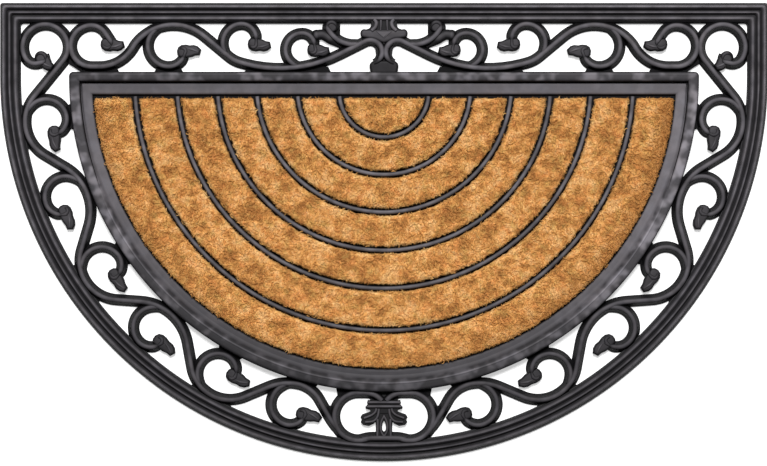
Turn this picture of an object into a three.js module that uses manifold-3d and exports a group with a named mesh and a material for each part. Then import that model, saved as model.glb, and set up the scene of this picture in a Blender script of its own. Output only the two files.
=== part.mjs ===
// Half-round doormat: one rubber moulding, with an open scrollwork border round a ribbed field,
// and seven coir pads set between the ribs. Millimetres, +Z up. The origin is on the floor under
// the middle of the mat, +X runs along the straight edge and +Y points towards it.
import * as THREE from 'three';
import { mergeVertices } from 'three/addons/utils/BufferGeometryUtils.js';
import Module from 'manifold-3d';

const wasm = await Module();
wasm.setup();

// The mat's outline: a half disc of RADIUS with a straight side STRAIGHT long above each end.
const RADIUS = 381;
const STRAIGHT = 74;
const ARC_Y = RADIUS - (RADIUS + STRAIGHT) / 2;

// How far a facet may stand off the true curve, and the largest turn between two facets.
const SAG = 0.65;
const LARGEST_TURN = THREE.MathUtils.degToRad(28);
const HALF_ROUND_STEPS = 32;

const TOLERANCE = 0.05;
const CLEARANCE = 0.35;
const BASE = 3;
const WEB = 2.6;
const NECK = 7.4;
const FOOT = 6.8;
const STEM = 6.2;

// The outer frame's section, from the outer wall inwards: three ridges and a thin flange.
const FRAME_WIDTH = 21;
const FRAME_SECTION = [
  { inset: 0, z: 0 },
  { inset: 0, z: 6 },
  { inset: 1.8, z: 8.4 },
  { inset: 5, z: 8.4 },
  { inset: 7, z: 5.6 },
  { inset: 8.8, z: 7.4 },
  { inset: 11.2, z: 7.4 },
  { inset: 12.8, z: 5.6 },
  { inset: 14.6, z: 8.2 },
  { inset: 17.2, z: 8.2 },
  { inset: 19.4, z: BASE },
  { inset: FRAME_WIDTH, z: BASE },
  { inset: FRAME_WIDTH, z: 0 },
];
const BORDER_EDGE = ARC_Y + STRAIGHT - FRAME_WIDTH;

// The inner frame, from its outer wall to the sheet under the coir. Rise is the straight edge's
// height over the centre of the arcs.
const TRAY_SECTION = [
  { radius: 312.5, rise: 6, z: 0 },
  { radius: 312.5, rise: 6, z: 9.8 },
  { radius: 311.3, rise: 4.8, z: 11 },
  { radius: 303.4, rise: -3.8, z: 11 },
  { radius: 301.4, rise: -6.4, z: 8 },
  { radius: 299.6, rise: -8, z: 9.4 },
  { radius: 290.2, rise: -17.6, z: 9.4 },
  { radius: 288.5, rise: -19.4, z: 7.6 },
  { radius: 288.5, rise: -19.4, z: BASE },
];
const TRAY_EDGE = TRAY_SECTION[0];
const FIELD = TRAY_SECTION[TRAY_SECTION.length - 1];
const FIELD_TOP = ARC_Y + FIELD.rise;

// The curved ribs: each circle's radius, and its centre's height over the field's straight edge.
const RIBS = [
  { radius: 44.2, lift: 4.1 },
  { radius: 85.7, lift: 8.5 },
  { radius: 126.0, lift: 11.6 },
  { radius: 164.8, lift: 12.6 },
  { radius: 204.8, lift: 15.0 },
  { radius: 246.5, lift: 15.0 },
];
const RIB = { width: 4.4, crown: 3.4, height: 10 };
const COIR = { seat: BASE + CLEARANCE, shoulder: 9, top: 11.6, side: 0.9, slope: 3 };

// Scroll sections, seen along the run: distance to the side, and height.
const BEAD = [
  { side: 5.3, z: 0 },
  { side: 4.9, z: 3.3 },
  { side: 1.9, z: 8 },
];
const LEAF = [
  { side: 5, z: 0 },
  { side: 5, z: 3.6 },
  { side: 3, z: 7.6 },
];
const RIM = [
  { side: 2.4, z: 0 },
  { side: 2.2, z: 6.4 },
  { side: 1.1, z: 8 },
];

// The running scroll on the arc side: a wave of bends, and an eye inside each bend.
const WAVE = {
  bends: 6,
  firstBend: 7.9,
  firstEye: 7.2,
  pitch: 13.4,
  outward: { reach: 319.7, radius: 38.7 },
  inward: { reach: 366, radius: 50.2 },
  eye: { reach: 337.1, radius: 20.3 },
};

// A scroll tightens by this much past its far side, before it meets its bud.
const TIGHTEN = 4;
const BUD = { radius: 6.1, bulb: { u: 12, v: -4.4 }, leaf: { u: 32.5, v: -4.4 } };

// Pegs of the corner scroll and of the straight side, for the half with x over 0. A route runs
// round pegs: turn 1 goes anticlockwise round one, and -1 clockwise.
const CORNER = { x: 335.4, y: 183.2, radius: 22.3, turn: 1 };
const CENTRE_SCROLL = { x: 25.6, y: -182.8, radius: 23.5, turn: -1 };
const STRAIGHT_VINE = [
  { x: 289.8, y: 184.2, radius: 20.3, turn: -1 },
  { x: 283.8, y: 203.1, radius: 39.2, turn: -1 },
  { x: 210.0, y: 157.9, radius: 47.6, turn: 1 },
  { x: 133.7, y: 198.4, radius: 31.7, turn: -1 },
  { x: 103.4, y: 296.0, radius: 133.8, turn: -1 },
  { x: 13.5, y: 178.3, radius: 11.7, turn: 1 },
];
const SPIRAL_STRAND = [
  { x: 51.9, y: 203.6, radius: 4.4, turn: -1 },
  { x: 30.0, y: 214.6, radius: 28.8, turn: -1 },
];
const CENTRE_STRAND = [
  { x: 18.1, y: -179.6, radius: 20.3, turn: -1 },
  CENTRE_SCROLL,
  { x: 11.2, y: -233.6, radius: 29.7, turn: 1 },
];

// Branches off the straight side's vine. Side 1 has the vine nearer the field, -1 nearer the edge.
const BRANCHES = [
  { x: 213.4, y: 184.5, radius: 20.5, side: -1, from: 97, to: 335 },
  { x: 141.1, y: 187.4, radius: 18.6, side: 1, from: 123, to: 366 },
  { x: 82.1, y: 180.3, radius: 16.4, side: 1, from: 82, to: 335 },
];
const BUDS = [
  { x: 289.8, y: 184.2, side: 1, bulb: { u: 15.4, v: -2.5 }, leaf: { u: 32, v: 1 } },
  { x: 213.4, y: 184.5, side: -1, bulb: { u: 14.3, v: -5.2 }, leaf: { u: 31.5, v: -4.4 } },
  { x: 141.1, y: 187.4, side: 1, bulb: { u: 12.8, v: 0.6 }, leaf: { u: 29.7, v: 2.8 } },
  { x: 82.1, y: 180.3, side: 1, bulb: { u: 11, v: -1.8 }, leaf: { u: 28, v: 1.6 } },
];

// Flat webs that fill the acute gaps between the scrolls and the inner frame's straight edge.
const STRAIGHT_WEBS = [
  { from: 261, to: 301.6 },
  { from: 197.6, to: 229.4 },
  { from: 50.9, to: 140 },
];
const WEB_REACH = 5.4;
const WEB_ROOT = 3;
const ARC_WEB = { bend: 17.8, eye: 15 };

// The corner's own bud, and the web and leaf at the ring that hangs from the straight edge.
const CORNER_BUD = {
  ...CORNER,
  heading: -Math.PI / 2,
  side: 1,
  bulb: { u: 10.5, v: 4.4 },
  leaf: { u: 22, v: -6 },
};
const RING_WEB = { from: 43.4, to: 60.2, reach: 13.8 };
const RING_LEAF = { from: { x: 52, y: 195.4 }, to: { x: 70.4, y: 194.8 } };

// The ornament in the middle of the straight side: half widths from top to bottom.
const NECK_PLATE = [
  { half: 13, y: 208 },
  { half: 12, y: 205 },
  { half: 13.4, y: 201 },
  { half: 18, y: 198 },
];
const BAR = { half: 22.8, y: 196.6 };
const BAR_WEB = [
  { half: 16, y: 197 },
  { half: 12, y: 186 },
  { half: 3, y: 183 },
  { half: 3, y: 170 },
];
const FOOT_PLATE = [
  { half: 5, y: 176 },
  { half: 7, y: 171.5 },
  { half: 13.2, y: 168.5 },
  { half: 13.4, y: 157 },
];

// The ornament in the middle of the arc side.
const COLLAR = [
  { half: 16.6, y: -168.6 },
  { half: 18.2, y: -173.2 },
];
const COLLAR_WEB = [
  { half: 16, y: -159 },
  { half: 16, y: -172 },
];
const STEM_PLATE = [
  { half: 13, y: -174 },
  { half: 13.4, y: -179 },
  { half: 8.2, y: -189 },
  { half: 8.8, y: -205 },
];
const LOBE = { from: { x: 6, y: -181.4 }, to: { x: 23.2, y: -185.6 }, swell: 1.3 };
const OVAL = { y: -192.6, halfWidth: 2.3, halfHeight: 4.2 };

const degrees = THREE.MathUtils.degToRad;

// Turns a closed three.js geometry into a solid. Mirrored, it is the same shape at minus x.
function solid(geometry, mirrored = false) {
  const bare = geometry.clone();
  bare.deleteAttribute('normal');
  bare.deleteAttribute('uv');
  const merged = mergeVertices(bare, 1e-4);
  const points = Float32Array.from(merged.attributes.position.array);
  const index = merged.index.array;
  const triangles = [];
  for (let i = 0; i < index.length; i += 3) {
    const [a, b, c] = index.subarray(i, i + 3);
    const flat = a === b || b === c || c === a;
    if (!flat) {
      triangles.push(...(mirrored ? [a, c, b] : [a, b, c]));
    }
  }
  if (mirrored) {
    for (let i = 0; i < points.length; i += 3) {
      points[i] = -points[i];
    }
  }
  const mesh = new wasm.Mesh({
    numProp: 3,
    vertProperties: points,
    triVerts: Uint32Array.from(triangles),
  });
  return new wasm.Manifold(mesh);
}

function bothSides(geometry) {
  return [solid(geometry), solid(geometry, true)];
}

function joined(solids) {
  return solids.reduce((whole, next) => whole.add(next));
}

// Joins flat faces that lie in one plane, which a long run of joins leaves in splinters.
function cleaned(manifold) {
  return manifold.asOriginal().simplify(TOLERANCE);
}

function toGeometry(manifold) {
  const mesh = manifold.getMesh();
  const geometry = new THREE.BufferGeometry();
  geometry.setAttribute('position', new THREE.BufferAttribute(mesh.vertProperties, 3));
  geometry.setIndex(new THREE.BufferAttribute(mesh.triVerts, 1));
  geometry.computeVertexNormals();
  return geometry;
}

// Skins a run of rings that have equal numbers of points. Looped, the last ring meets the first,
// and otherwise flat lids close both ends.
function loft(rings, looped = false) {
  const count = rings[0].length;
  const index = [];
  const spans = looped ? rings.length : rings.length - 1;
  for (let r = 0; r < spans; r++) {
    const low = r * count;
    const high = ((r + 1) % rings.length) * count;
    for (let i = 0; i < count; i++) {
      const next = (i + 1) % count;
      index.push(low + i, low + next, high + next, low + i, high + next, high + i);
    }
  }
  if (!looped) {
    const last = (rings.length - 1) * count;
    for (const [a, b, c] of THREE.ShapeUtils.triangulateShape(rings[0], [])) {
      index.push(c, b, a);
    }
    for (const [a, b, c] of THREE.ShapeUtils.triangulateShape(rings[rings.length - 1], [])) {
      index.push(last + a, last + b, last + c);
    }
  }
  const geometry = new THREE.BufferGeometry().setFromPoints(rings.flat());
  geometry.setIndex(index);
  return geometry;
}

// One ring of the mat's half-round outline, anticlockwise from above.
function halfRound({ radius, rise, z }) {
  const cut = Math.asin(Math.max(0, -rise) / radius);
  const half = radius * Math.cos(cut);
  const ring = [new THREE.Vector3(half, ARC_Y + rise, z), new THREE.Vector3(-half, ARC_Y + rise, z)];
  for (let i = 0; i <= HALF_ROUND_STEPS; i++) {
    const angle = Math.PI + cut + ((Math.PI - 2 * cut) * i) / HALF_ROUND_STEPS;
    ring.push(new THREE.Vector3(radius * Math.cos(angle), ARC_Y + radius * Math.sin(angle), z));
  }
  return ring;
}

// A rib's circle, widened or narrowed. Its facets depend on the rib alone, so that rings match.
function ribCircle({ radius, lift }, widen) {
  const steps = Math.max(8, Math.round((Math.PI * radius) / 26));
  return { radius: radius + widen, y: FIELD_TOP + lift, steps };
}

// The ring between two circles that a straight edge cuts off at the top.
function bandRing(outer, inner, top, z) {
  const ring = [];
  const addArc = ({ radius, y, steps }, backwards) => {
    const cut = Math.asin((y - top) / radius);
    for (let i = 0; i <= steps; i++) {
      const share = backwards ? 1 - i / steps : i / steps;
      const angle = Math.PI + cut + (Math.PI - 2 * cut) * share;
      ring.push(new THREE.Vector3(radius * Math.cos(angle), y + radius * Math.sin(angle), z));
    }
  };
  addArc(outer, false);
  if (inner) {
    addArc(inner, true);
  }
  return ring;
}

// A run round pegs: each peg is a circle, and straight tangents join one to the next.
function route(pegs, from, to) {
  const points = [];
  const tangents = pegs.slice(1).map((peg, i) => {
    const before = pegs[i];
    const across = Math.hypot(peg.x - before.x, peg.y - before.y);
    const bearing = Math.atan2(peg.y - before.y, peg.x - before.x);
    const bulge = (peg.turn * peg.radius - before.turn * before.radius) / across;
    return bearing - Math.asin(THREE.MathUtils.clamp(bulge, -1, 1));
  });
  pegs.forEach((peg, i) => {
    const start = i === 0 ? degrees(from) : tangents[i - 1] - (peg.turn * Math.PI) / 2;
    const end = i === pegs.length - 1 ? degrees(to) : tangents[i] - (peg.turn * Math.PI) / 2;
    const swept = THREE.MathUtils.euclideanModulo(peg.turn * (end - start), 2 * Math.PI);
    const facet = Math.min(LARGEST_TURN, 2 * Math.acos(1 - SAG / peg.radius));
    const steps = Math.max(1, Math.round(swept / facet));
    for (let k = 0; k <= steps; k++) {
      const angle = start + (peg.turn * swept * k) / steps;
      const point = new THREE.Vector2(peg.radius * Math.cos(angle), peg.radius * Math.sin(angle));
      point.add(new THREE.Vector2(peg.x, peg.y));
      const last = points[points.length - 1];
      if (!last || last.distanceTo(point) > 1) {
        points.push(point);
      }
    }
  });
  return points;
}

// A curve whose steps are the points it is given, so that facets fall where they are wanted.
class SteppedCurve extends THREE.Curve {
  constructor(points) {
    super();
    this.points = points;
  }

  getPoint(t, target = new THREE.Vector3()) {
    const spans = this.points.length - 1;
    const place = THREE.MathUtils.clamp(t, 0, 1) * spans;
    const i = Math.min(Math.floor(place), spans - 1);
    const flat = this.points[i].clone().lerp(this.points[i + 1], place - i);
    return target.set(flat.x, flat.y, 0);
  }

  getPointAt(u, target) {
    return this.getPoint(u, target);
  }

  getTangentAt(u, target) {
    return this.getTangent(u, target);
  }
}

// A bead of the given section along flat points. The section's plane has -z first, then sideways.
function bead(points, section = BEAD) {
  const left = section.map(({ side, z }) => new THREE.Vector2(-z, side));
  const right = section.map(({ side, z }) => new THREE.Vector2(-z, -side)).reverse();
  const path = new SteppedCurve(points);
  const steps = points.length - 1;
  return new THREE.ExtrudeGeometry(new THREE.Shape([...left, ...right]), { steps, extrudePath: path });
}

// A straight bead between two points, or between their mirror images on side -1.
function stroke({ from, to }, side, section) {
  return bead([from, to].map(({ x, y }) => new THREE.Vector2(x * side, y)), section);
}

// A straight bead across the middle line.
function crossBar({ half, y }, section) {
  return stroke({ from: { x: -half, y }, to: { x: half, y } }, 1, section);
}

function slab(shape, height, curveSegments = 6) {
  return new THREE.ExtrudeGeometry(shape, { depth: height, bevelEnabled: false, curveSegments });
}

function block(x0, x1, y0, y1, height) {
  const box = new THREE.BoxGeometry(x1 - x0, y1 - y0, height);
  return box.translate((x0 + x1) / 2, (y0 + y1) / 2, height / 2);
}

// A point given along a unit's heading (u) and to its left (v).
function place(unit, { u, v }) {
  const cos = Math.cos(unit.heading);
  const sin = Math.sin(unit.heading);
  const across = v * unit.side;
  return new THREE.Vector2(unit.x + u * cos - across * sin, unit.y + u * sin + across * cos);
}

// A branch leaves its vine, runs round the eye and tightens towards its bud. Its angles are
// measured from the unit's heading, towards the vine's side.
function branch(unit) {
  const tight = place(unit, { u: 0, v: -TIGHTEN });
  const pegs = [
    { x: unit.x, y: unit.y, radius: unit.radius, turn: unit.side },
    { x: tight.x, y: tight.y, radius: unit.radius - TIGHTEN, turn: unit.side },
  ];
  const turned = (angle) => THREE.MathUtils.radToDeg(unit.heading) + unit.side * angle;
  return bead(route(pegs, turned(unit.from), turned(unit.to)));
}

// A bud is a domed bulb inside the scroll and a blunt leaf beside it.
function bud(unit) {
  const dome = new THREE.LatheGeometry([
    new THREE.Vector2(0, 0),
    new THREE.Vector2(BUD.radius, 0),
    new THREE.Vector2(BUD.radius - 0.4, 4),
    new THREE.Vector2(BUD.radius - 3, 8),
    new THREE.Vector2(0, 8),
  ], 8);
  const bulb = place(unit, unit.bulb);
  dome.rotateX(Math.PI / 2).translate(bulb.x, bulb.y, 0);
  const root = place(unit, { u: unit.bulb.u + 1, v: (unit.bulb.v + unit.leaf.v) / 2 });
  return [dome, bead([root, place(unit, unit.leaf)], LEAF)];
}

// Web plates along the arc of the inner frame, centred on an angle below the horizontal.
function arcWeb(angle, halfLength) {
  const inner = TRAY_EDGE.radius - WEB_ROOT;
  const outer = TRAY_EDGE.radius + WEB_REACH;
  const spread = halfLength / TRAY_EDGE.radius;
  const shape = new THREE.Shape();
  shape.absarc(0, ARC_Y, outer, -degrees(angle) - spread, -degrees(angle) + spread, false);
  shape.absarc(0, ARC_Y, inner, -degrees(angle) + spread, -degrees(angle) - spread, true);
  return slab(shape, WEB, 2);
}

function onArc(angle, reach) {
  return { x: reach * Math.cos(degrees(angle)), y: ARC_Y - reach * Math.sin(degrees(angle)) };
}

// The border's right half on the arc side: the vine, its branches, buds and webs.
function arcScrolls() {
  const parts = [];
  const pegs = [CORNER];
  for (let k = 0; k < WAVE.bends; k++) {
    const outward = k % 2 === 0;
    const { reach, radius } = outward ? WAVE.outward : WAVE.inward;
    const bendAngle = WAVE.firstBend + k * WAVE.pitch;
    const eyeAngle = WAVE.firstEye + k * WAVE.pitch;
    pegs.push({ ...onArc(bendAngle, reach), radius, turn: outward ? -1 : 1 });
    const unit = {
      ...onArc(eyeAngle, WAVE.eye.reach),
      radius: WAVE.eye.radius,
      heading: -Math.PI / 2 - degrees(eyeAngle),
      side: outward ? 1 : -1,
      from: 100,
      to: 342,
      bulb: BUD.bulb,
      leaf: BUD.leaf,
    };
    const touching = outward ? ARC_WEB.eye : ARC_WEB.bend;
    parts.push(branch(unit), ...bud(unit), arcWeb(outward ? eyeAngle : bendAngle, touching));
  }
  pegs.push(CENTRE_SCROLL);
  parts.push(bead(route(pegs, 301, 250)), bead(route(CENTRE_STRAND, 141, 112)));
  parts.push(...bud(CORNER_BUD));
  return parts;
}

// The border's right half on the straight side.
function straightScrolls() {
  const units = BUDS.map((row) => ({ ...row, heading: Math.PI }));
  const parts = [bead(route(STRAIGHT_VINE, 170, 250)), bead(route(SPIRAL_STRAND, 300, 246))];
  for (const row of BRANCHES) {
    parts.push(branch({ ...row, heading: Math.PI }));
  }
  parts.push(...units.flatMap(bud));
  const edge = ARC_Y + TRAY_EDGE.rise;
  for (const { from, to } of STRAIGHT_WEBS) {
    parts.push(block(from, to, edge - WEB_ROOT, edge + WEB_REACH, WEB));
  }
  parts.push(block(RING_WEB.from, RING_WEB.to, BORDER_EDGE - RING_WEB.reach, BORDER_EDGE + WEB_ROOT, WEB));
  parts.push(stroke(RING_LEAF, 1, LEAF));
  return parts;
}

// A symmetric plate from the half widths of its outline, listed from top to bottom.
function mirroredPlate(rows, height) {
  const right = rows.map(({ half, y }) => new THREE.Vector2(half, y));
  const left = rows.map(({ half, y }) => new THREE.Vector2(-half, y)).reverse();
  return slab(new THREE.Shape([...left, ...right]), height);
}

// The ornament in the middle of the straight side: a neck, a cross bar and a foot.
function topOrnament() {
  return [
    mirroredPlate(NECK_PLATE, NECK),
    crossBar(BAR, LEAF),
    mirroredPlate(BAR_WEB, WEB),
    mirroredPlate(FOOT_PLATE, FOOT),
  ];
}

// The ornament in the middle of the arc side: a collar, two lobes and a stem.
function bottomOrnament() {
  const lobeSection = LEAF.map(({ side, z }) => ({ side: side + LOBE.swell, z }));
  return [
    ...COLLAR.map((row) => crossBar(row, RIM)),
    mirroredPlate(COLLAR_WEB, WEB),
    mirroredPlate(STEM_PLATE, STEM),
    stroke(LOBE, 1, lobeSection),
    stroke(LOBE, -1, lobeSection),
  ];
}

// The hole through the lower ornament's stem.
function ovalEye() {
  const shape = new THREE.Shape();
  shape.absellipse(0, OVAL.y, OVAL.halfWidth, OVAL.halfHeight, 0, 2 * Math.PI, false, 0);
  return slab(shape, 2 * STEM, 8).translate(0, 0, -BASE);
}

function rubberMoulding() {
  const frame = loft(FRAME_SECTION.map(({ inset, z }) => {
    return halfRound({ radius: RADIUS - inset, rise: STRAIGHT - inset, z });
  }), true);
  const tray = loft(TRAY_SECTION.map(halfRound));
  const ribs = RIBS.map((rib) => {
    const around = (width) => [ribCircle(rib, width / 2), ribCircle(rib, -width / 2)];
    return loft([
      bandRing(...around(RIB.width), FIELD_TOP + 1, BASE - 1),
      bandRing(...around(RIB.width), FIELD_TOP + 1, RIB.height - 1),
      bandRing(...around(RIB.crown), FIELD_TOP + 1, RIB.height),
    ]);
  });
  const scrolls = [...arcScrolls(), ...straightScrolls()].flatMap(bothSides);
  const middle = [...topOrnament(), ...bottomOrnament()].map((geometry) => solid(geometry));
  const whole = joined([solid(frame), solid(tray), ...ribs.map((rib) => solid(rib)), ...scrolls, ...middle]);
  return cleaned(whole.subtract(solid(ovalEye())));
}

// Pad number k lies between rib k - 1 and rib k, and the last one fills up to the inner frame.
function coirBand(k) {
  const rim = { radius: FIELD.radius, y: ARC_Y, steps: HALF_ROUND_STEPS };
  const outer = k < RIBS.length ? ribCircle(RIBS[k], -RIB.width / 2) : rim;
  const inner = k > 0 ? ribCircle(RIBS[k - 1], RIB.width / 2) : null;
  const ring = (margin, z) => bandRing(
    { ...outer, radius: outer.radius - margin },
    inner && { ...inner, radius: inner.radius + margin },
    FIELD_TOP - margin,
    z,
  );
  return loft([
    ring(COIR.side, COIR.seat),
    ring(COIR.side, COIR.shoulder),
    ring(COIR.side + COIR.slope, COIR.top),
  ]);
}

const group = new THREE.Group();

const rubber = new THREE.MeshStandardMaterial({ color: 0x2c2b2e, roughness: 0.62, metalness: 0 });
const moulding = new THREE.Mesh(toGeometry(rubberMoulding()), rubber);
moulding.name = 'rubber_moulding';
group.add(moulding);

for (let k = 0; k <= RIBS.length; k++) {
  const coir = new THREE.MeshStandardMaterial({ color: 0xc08a4a, roughness: 1, metalness: 0 });
  const pad = new THREE.Mesh(toGeometry(solid(coirBand(k))), coir);
  pad.name = `coir_band_${k + 1}`;
  group.add(pad);
}

export default group;
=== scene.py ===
"""Looks of a half-round doormat: black moulded rubber scrollwork round a ribbed field of coir pads."""

import math
from collections import namedtuple

import bpy
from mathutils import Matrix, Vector


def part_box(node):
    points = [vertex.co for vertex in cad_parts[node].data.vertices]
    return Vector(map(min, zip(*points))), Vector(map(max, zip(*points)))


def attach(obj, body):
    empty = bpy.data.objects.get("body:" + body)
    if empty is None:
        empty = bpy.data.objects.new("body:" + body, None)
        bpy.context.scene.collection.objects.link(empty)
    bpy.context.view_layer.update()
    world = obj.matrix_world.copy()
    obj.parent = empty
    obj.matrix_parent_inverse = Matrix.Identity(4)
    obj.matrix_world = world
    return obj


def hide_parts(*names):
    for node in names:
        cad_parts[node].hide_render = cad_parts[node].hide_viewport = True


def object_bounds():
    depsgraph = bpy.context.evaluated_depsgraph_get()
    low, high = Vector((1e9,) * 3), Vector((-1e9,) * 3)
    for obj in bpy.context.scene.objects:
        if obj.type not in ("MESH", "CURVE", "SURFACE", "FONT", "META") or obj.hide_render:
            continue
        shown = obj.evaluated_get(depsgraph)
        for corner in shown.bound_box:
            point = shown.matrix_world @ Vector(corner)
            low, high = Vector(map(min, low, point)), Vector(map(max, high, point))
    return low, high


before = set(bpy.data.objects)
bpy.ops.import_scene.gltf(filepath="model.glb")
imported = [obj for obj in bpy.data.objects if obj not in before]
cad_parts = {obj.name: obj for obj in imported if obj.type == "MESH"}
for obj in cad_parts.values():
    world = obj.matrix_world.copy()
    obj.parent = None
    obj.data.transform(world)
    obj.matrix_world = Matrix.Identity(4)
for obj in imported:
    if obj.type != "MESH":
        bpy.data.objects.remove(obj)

bl_info = {
    "name": "Half-round doormat",
    "version": (1, 0, 0),
    "blender": (4, 5, 0),
    "location": "3D View > Sidebar > Doormat",
    "description": "Builds the rubber moulding, the coir pads and the studio of a half-round doormat",
    "category": "Object",
}

# Tables below are in millimetres, and MM turns them into Blender's metres. Faces that meet at more
# than the crease angle show an edge. The camera stands over the mat, a little off its middle.
MM = 0.001
CREASE = math.radians(35)
MAT_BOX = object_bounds()
RADIUS = MAT_BOX[1].x / MM
DEPTH = (MAT_BOX[1].y - MAT_BOX[0].y) / MM
STRAIGHT = DEPTH - RADIUS
ARC_Y = RADIUS - DEPTH / 2
CAMERA_AT = (-0.5, -0.9)
RUBBER_NODE = "rubber_moulding"
COIR_NODES = sorted(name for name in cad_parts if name.startswith("coir_band"))

# The outer frame: three ridges with sharp grooves between, and a thin flange at the open border. A
# ridge is drawn at a few shares of its half-width, and the flange's edge goes (inward, down).
Ridge = namedtuple("Ridge", "crest half height")
RIDGES = (Ridge(4.6, 3.1, 8.4), Ridge(10.1, 2.4, 7.8), Ridge(16.0, 3.5, 8.2))
RIDGE_ROWS = (-1, -0.75, -0.5, -0.3, -0.12, 0.12, 0.3, 0.5, 0.75, 1)
GROOVE = 4.7
FRAME_WIDTH = 21.0
FLANGE = 3.0
FLANGE_EDGE = ((1.2, 0.0), (0.3, 0.3), (0.0, FLANGE))
CORNER_BEVEL = 2.6

# The frames' arcs have a set number of steps, other long arcs have steps of about one facet, and
# runs round pegs turn a little at each step, which is never shorter than the least.
ARC_STEPS = 160
FACET = 4.0
PEG_STEP = math.radians(4)
LEAST_STEP = 0.3

# The inner frame's two bands, and the field inside them. Rise is how far the straight edge lies
# above the centre of the arcs, and the seam is the gap between the bands.
Outline = namedtuple("Outline", "radius rise")
TRAY = Outline(311.8, 5.2)
STEP = Outline(300.6, -4.8)
RIM = Outline(288.7, -17.8)
SEAM = 0.3
TRAY_CORNER = 4.5

# A band's height, and how far its upper edges are rounded. The sheet under the coir reaches a little
# under the bands.
Band = namedtuple("Band", "top edge")
OUTER_BAND = Band(11.0, 3.2)
INNER_BAND = Band(6.4, 3.0)
SHEET_EDGE = 0.2
SHEET_MARGIN = 2.0

# The lip between the bands on the arc side: its rows from the inside out, as (side, height). Towards
# its ends it sinks under the bands, given as (stretch, share of its size).
LIP = (
    (-8.2, 0.0), (-8.2, 6.2), (-6.4, 6.7), (-4.6, 7.8), (-3.0, 9.2), (-1.5, 10.6), (-0.6, 11.2),
    (0.3, 11.5), (1.0, 11.3), (1.6, 10.8), (1.8, 0.0),
)
LIP_RADIUS = 302.6
LIP_ENDS = (150.0, 0.6)

# The curved ribs: each circle's radius, and how far its centre lies under that of the big arcs. Their
# tops are round, and their ends tuck under the straight edge.
Rib = namedtuple("Rib", "radius drop")
RIBS = (
    Rib(44.2, 15.3),
    Rib(85.7, 10.9),
    Rib(126.0, 7.8),
    Rib(164.8, 6.8),
    Rib(204.8, 4.4),
    Rib(246.5, 4.4),
)
RIB_WIDTH = 4.4
RIB_HEIGHT = 9.6
RIB_CROWN = 2.2
RIB_TUCK = 1.5

# The coir pads' outer arc, their straight edge under the centre of the arcs, and the gap to a rib.
# Painted shade makes the field darker over the rim's width inside the outer arc.
PAD_RADIUS = 288.0
PAD_DROP = 21.1
RIB_GAP = 1.3
DARK_RIM = 22

# A pad's solid heart: how far it lies under the pile, its rounded edge, the size of its faces, and
# the size and height of its clumps.
HEART_DROP = 2.4
PAD_EDGE = 2.6
PAD_FACE = 2.2
CLUMP_SIZE = 5
CLUMP_HEIGHT = 2.6

# The most fibres for each square metre and how much their sizes differ, and the same of the loose
# curled ones that lie on top, which are tilted a little and bent round part of a circle.
PILE_DENSITY = 3.2e6
PILE_SIZES = (0.7, 1.1)
LOOSE_DENSITY = 4e5
LOOSE_SIZES = (0.7, 1.3)
LOOSE_TILT = 0.2
LOOSE_RADIUS = 2.2
LOOSE_BEND = (0.2, 2.3)
LOOSE_SECTION = ((0.28, 1.3), (0, 1.8), (-0.28, 1.3))

# Scrolls run round pegs: turn 1 goes anticlockwise round one, and -1 clockwise.
Peg = namedtuple("Peg", "x y radius turn")
CORNER = (Peg(339.9, 172.6, 4.6, 1), Peg(345.6, 177.3, 10.5, 1), Peg(335.4, 183.2, 22.3, 1))
LAST_BEND = (Peg(91.9, -182.0, 32.0, 1), Peg(-23.0, -137.4, 90.0, -1))
STRAIGHT_VINE = (
    Peg(274.4, 186.7, 4.4, -1),
    Peg(289.8, 188.2, 16.3, -1),
    Peg(289.8, 184.2, 20.3, -1),
    Peg(282.2, 203.1, 39.2, -1),
    Peg(208.6, 157.5, 47.6, 1),
    Peg(133.7, 198.4, 31.7, -1),
    Peg(103.4, 296.0, 133.8, -1),
    Peg(13.5, 178.3, 11.7, 1),
)
RING_STRAND = (Peg(51.9, 203.6, 4.4, -1), Peg(30.0, 214.6, 28.8, -1))
CENTRE_STRAND = (Peg(18.1, -179.6, 20.3, -1), Peg(25.6, -182.8, 23.5, -1), Peg(11.2, -233.6, 29.7, 1))

# Where the runs end on their outermost pegs, in degrees.
ARC_VINE_END = 314
STRAIGHT_VINE_END = 252
RING_STRAND_END = 246
CENTRE_STRAND_ENDS = (141, 90)

# The running scroll on the arc side: bends outward and inward by turns, with an eye in each. A
# branch tightens as it goes round its eye.
WAVE_BENDS = 6
WAVE_PITCH = math.radians(13.4)
FIRST_BEND = math.radians(7.9)
FIRST_EYE = math.radians(7.2)
Bend = namedtuple("Bend", "reach radius turn")
OUTWARD = Bend(319.7, 38.7, -1)
INWARD = Bend(366.0, 50.2, 1)
EYE = Bend(337.1, 20.3, 0)
TIGHTEN = 4.0

# A bead is round over its foot, and a crown is the height of its round top. Scrolls have flanks
# under their beads, as (inward, height), are narrower at their ends, given as (stretch, share), and
# some lie a little lower than the others.
Bead = namedtuple("Bead", "half foot top")
SCROLL_CROWN = 2.9
SCROLL_FLANK = ((0.0, 0.0), (0.1, 1.0), (0.4, 1.4), (0.8, 1.8))
SCROLL_START = (14, 0.8)
SCROLL_END = (10, 0.7)
STRAIGHT_VINE_START = (12, 0.8)
ARC_VINE_SINK = 0.15
BRANCH_SINK = 0.3

# Every scroll ends in a curl: a thinner bead wound nearly once round its bud. It starts inside the
# scroll, and its widths at both ends are given as (stretch, share).
CURL_RADIUS = 3.0
CURL_TURN = 300.0
CURL_LENGTH = 15.0
CURL_OVERLAP = 12
CURL_BEAD = Bead(2.3, 4.9, 7.3)
CURL_START = (10, 0.85)
CURL_END = (12, 0.72)

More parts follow.
